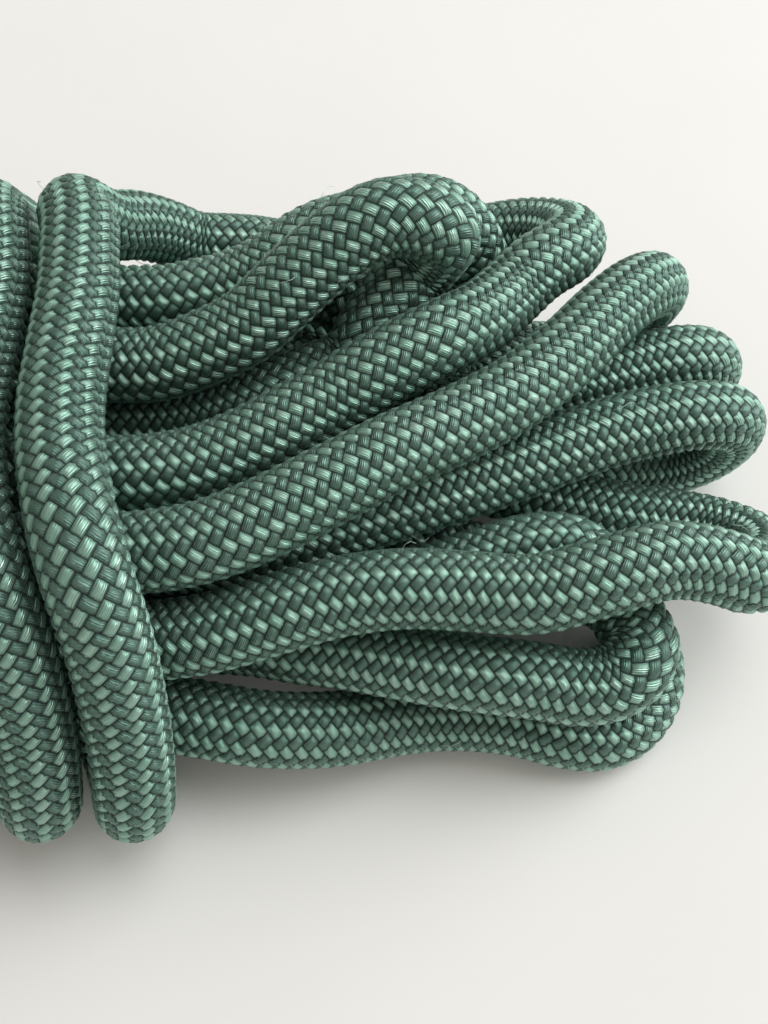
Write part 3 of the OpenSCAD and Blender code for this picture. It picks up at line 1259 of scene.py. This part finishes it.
@dataclass
class StrayFilaments:
    """Fine filaments that have worked loose from the sheath. Lengths are in metres.

    Args:
        rope: the rope's middle line.
        finish: their material.
        count: how many there are.
        margin: how many rings of the line they keep off its two ends.
        radius: how far from the middle line they leave the sheath.
        sunk: how far below that they start.
        thick: half their thickness.
        least: the least height of their middle line above the ground.
        reach: how far along the rope a filament goes, at least and at most.
        lift: how far it stands off the sheath.
        bend: how far it bends aside.
        shape: rise, run and bend of its further points, as shares of its own lift, reach and bend.
        seed: what the random draws start from.
    """

    rope: RopeLine
    finish: bpy.types.Material
    count: int = 110
    margin: int = 40
    radius: float = 5.1 * MM
    sunk: float = 0.5 * MM
    thick: float = 0.035 * MM
    least: float = 0.2 * MM
    reach: tuple[float, float] = (1.2 * MM, 3.4 * MM)
    lift: tuple[float, float] = (0.5 * MM, 1.5 * MM)
    bend: tuple[float, float] = (-1.2 * MM, 1.2 * MM)
    shape: tuple[tuple[float, float, float], ...] = ((0.7, 0.4, 0.0), (1.0, 0.8, 0.5), (0.6, 1.2, 1.0))
    seed: int = 7

    def build(self) -> bpy.types.Object:
        """One piece with all the filaments, each a short bent hair that starts on the sheath.

        Returns:
            The piece.
        """
        rng = np.random.default_rng(self.seed)
        curve = bpy.data.curves.new("filaments", "CURVE")
        curve.dimensions = "3D"
        curve.bevel_depth = self.thick
        curve.bevel_resolution = 0
        curve.resolution_u = 4
        rings = rng.integers(self.margin, len(self.rope.line) - self.margin, self.count)
        for k in rings:
            turn = rng.uniform(0, 2 * math.pi)
            out = math.cos(turn) * self.rope.up[k] + math.sin(turn) * self.rope.over[k]
            along = self.rope.ahead[k] * rng.choice([-1, 1])
            across = np.cross(out, along)
            root = self.rope.line[k] + out * (self.radius - self.sunk)
            reach = rng.uniform(*self.reach)
            lift = rng.uniform(*self.lift)
            bend = rng.uniform(*self.bend)
            path = [root]
            for rise, run, sway in self.shape:
                aside = along * reach * run + across * bend * sway
                path.append(root + out * (self.sunk + lift * rise) + aside)
            spline = curve.splines.new("POLY")
            spline.points.add(len(path) - 1)
            for point, place in zip(spline.points, path):
                point.co = (place[0], place[1], max(place[2], self.least), 1.0)
        holder = bpy.data.objects.new("filaments", curve)
        bpy.context.scene.collection.objects.link(holder)
        mesh = bpy.data.meshes.new_from_object(holder.evaluated_get(bpy.context.evaluated_depsgraph_get()))
        bpy.data.objects.remove(holder)
        return new_piece("stray_filaments", mesh, self.finish, Slot.SHEATH)


@dataclass
class Lamp:
    """A square lamp.

    Args:
        name: its name.
        place: where it hangs, in metres.
        size: its side, in metres.
        power: its power, in watts.
        color: its colour.
        aim: what it points at, in metres.
    """

    name: str
    place: tuple[float, float, float]
    size: float
    power: float
    color: tuple[float, float, float] = (0.97, 0.995, 1.0)
    aim: tuple[float, float, float] = (0.02, 0.0, 0.02)

    def hang(self) -> None:
        """Adds it to the scene."""
        data = bpy.data.lights.new(self.name, "AREA")
        data.size = self.size
        data.energy = self.power
        data.color = self.color
        lamp = bpy.data.objects.new(self.name, data)
        lamp.location = self.place
        lamp.rotation_euler = (Vector(self.aim) - Vector(self.place)).to_track_quat("-Z", "Y").to_euler()
        bpy.context.scene.collection.objects.link(lamp)


@dataclass
class Studio:
    """Camera, lamps, world and table.

    Args:
        eye: where the camera is, in metres.
        dip: how far it looks down, in degrees.
        focal: its focal length, in millimetres.
        lamps: the lamps.
        world: strength of the light from all round.
        world_color: its colour.
        table: distance from the table's middle to its edges, in metres.
    """

    eye: tuple[float, float, float] = (0.05283, -0.0735, 0.1429)
    dip: float = 60.0
    focal: float = 35.58
    lamps: tuple[Lamp, ...] = (
        Lamp("sky", (0.45, 0.25, 1.10), 0.70, 4.7),
        Lamp("window", (1.75, 0.62, 0.78), 1.75, 31.5),
    )
    world: float = 0.50
    world_color: tuple[float, float, float, float] = (1.0, 0.94, 0.87, 1.0)
    table: float = 3.0

    def camera(self) -> None:
        """Adds the camera, which looks down on the hank's right half."""
        data = bpy.data.cameras.new("camera")
        data.sensor_fit = "VERTICAL"
        data.sensor_height = 36.0
        data.lens = self.focal
        data.clip_start = 0.005
        camera = bpy.data.objects.new("camera", data)
        camera.location = self.eye
        camera.rotation_euler = (math.radians(90 - self.dip), 0.0, 0.0)
        bpy.context.scene.collection.objects.link(camera)
        bpy.context.scene.camera = camera

    def build(self) -> None:
        """Adds the table, the lamps and the world."""
        shape = bmesh.new()
        bmesh.ops.create_grid(shape, x_segments=8, y_segments=8, size=self.table)
        table = bpy.data.objects.new("table", from_bmesh("table", shape, smooth=False))
        table.data.materials.append(TableFinish().material())
        bpy.context.scene.collection.objects.link(table)
        for lamp in self.lamps:
            lamp.hang()
        world = bpy.data.worlds.new("daylight")
        world.use_nodes = True
        world.node_tree.nodes["Background"].inputs["Color"].default_value = self.world_color
        world.node_tree.nodes["Background"].inputs["Strength"].default_value = self.world
        bpy.context.scene.world = world
        bpy.context.scene.view_settings.view_transform = "Standard"


def node_for(name: str) -> list[str]:
    """The solids that a stretch of rope stands for.

    Args:
        name: the stretch's name.

    Returns:
        The names of the solids.
    """
    if name in ("start", "finish"):
        return [f"{name}_tail", f"{name}_sheath_end"]
    return ["waist_wraps" if name.startswith("wraps") else "hank_loops"]


def main() -> None:
    """Builds the studio and the rope."""
    logging.basicConfig(level=logging.INFO, format="%(name)s %(message)s")
    studio = Studio()
    studio.camera()
    braid = Braid()
    route = Route()
    rope = RopeLine(route, braid)
    sheath = SheathFinish(braid).material()
    core = CoreFinish().material()
    sleeve = SleeveFinish().material()
    body = BraidedRope(rope, braid, sheath)
    ends: dict[str, list[bpy.types.Object]] = {}
    for name, ring in (("start", 0), ("finish", -1)):
        end = RopeEnd(name, Vector(rope.line[ring]), core, sleeve)
        ends[name] = [end.core_piece(), end.sleeve_piece()]
    for name, first, last in rope.cuts():
        cut = (name == "start", name == "finish")
        body.piece(f"rope_{name}", first, last, node_for(name), cut, ends.get(name, []))
    StrayFilaments(rope, sheath).build()
    studio.build()


if __name__ == "__main__":
    main()
